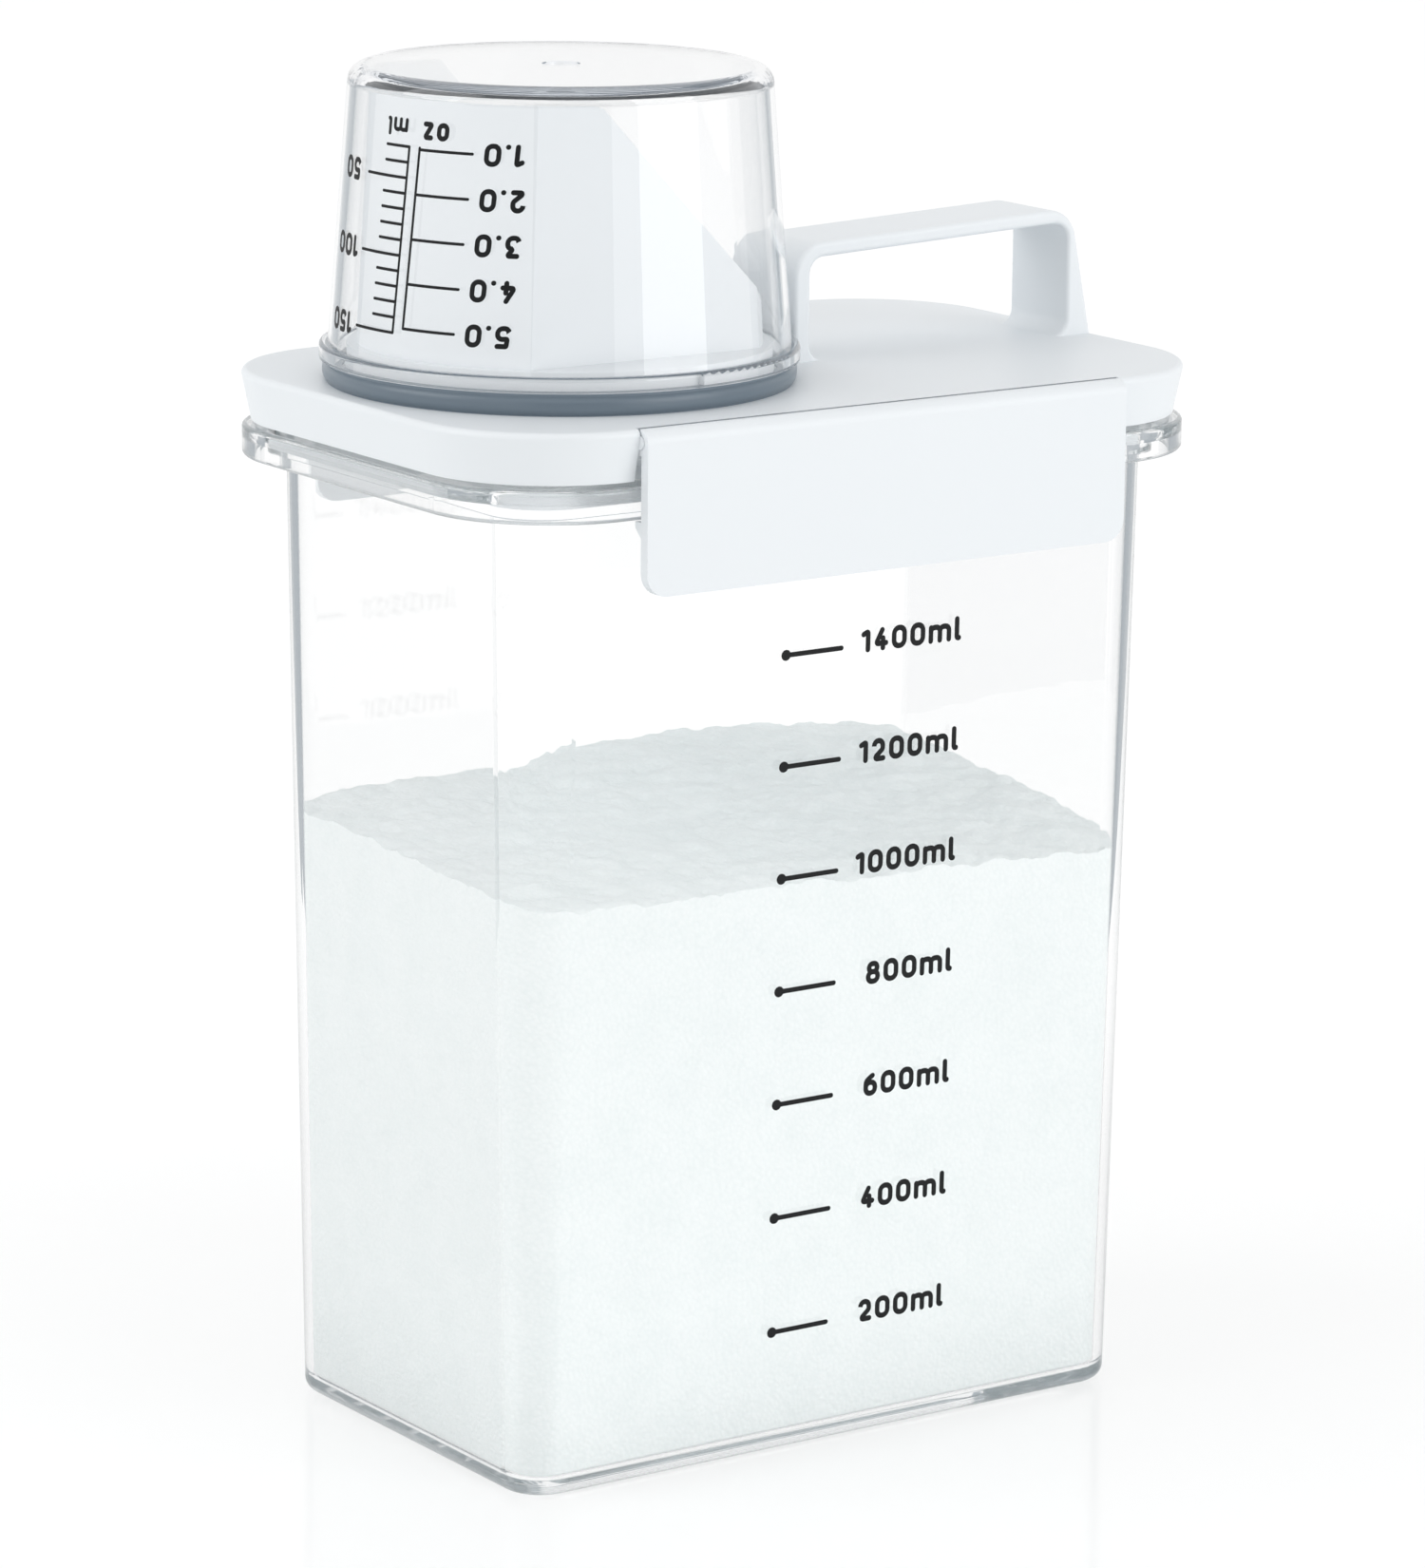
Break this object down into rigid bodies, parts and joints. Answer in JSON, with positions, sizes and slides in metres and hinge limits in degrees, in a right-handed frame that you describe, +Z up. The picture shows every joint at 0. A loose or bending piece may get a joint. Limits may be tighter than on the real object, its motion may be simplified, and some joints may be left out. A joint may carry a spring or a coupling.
{
  "type": "detergent dispenser bottle",
  "caption": "Upright clear storage bottle for washing powder, with a clip-on lid, carry handle, slanted pouring spout and a clear measuring cup that covers the spout.",
  "frame": {"origin": "on the floor under the middle of the container", "axes": "+Z up, +X along the length towards the carry handle, -Y towards the face with the volume scale"},
  "size_m": [0.1538, 0.106, 0.2408],
  "materials": {
    "clear_plastic": "polished clear",
    "white_plastic": "satin moulded",
    "grey_silicone": "satin",
    "clear_silicone": "matt",
    "washing_powder": "granular matt"
  },
  "bodies": {
    "container_body": {"container": "clear_plastic", "detergent_powder": "washing_powder"},
    "lid_body": {"lid": "white_plastic", "lid_gasket": "clear_silicone", "carry_handle": "white_plastic", "pour_spout": "white_plastic", "spout_seal_ring": "grey_silicone"},
    "front_latch_body": {"front_latch": "white_plastic"},
    "rear_latch_body": {"rear_latch": "white_plastic"},
    "cup_body": {"measuring_cup": "clear_plastic"}
  },
  "joints": [
    {"name": "lid_lift", "type": "slide", "parent": "container_body", "child": "lid_body", "axis": [0, 0, 1], "range_m": [0, 0.06]},
    {"name": "front_latch_hinge", "type": "hinge", "parent": "lid_body", "child": "front_latch_body", "pos_m": [0, -0.05075, 0.18445], "axis": [-1, 0, 0], "range_deg": [0, 95]},
    {"name": "rear_latch_hinge", "type": "hinge", "parent": "lid_body", "child": "rear_latch_body", "pos_m": [0, 0.05075, 0.18445], "axis": [1, 0, 0], "range_deg": [0, 95]},
    {"name": "cup_lift", "type": "slide", "parent": "lid_body", "child": "cup_body", "axis": [0, 0, 1], "range_m": [0, 0.06]}
  ]
}
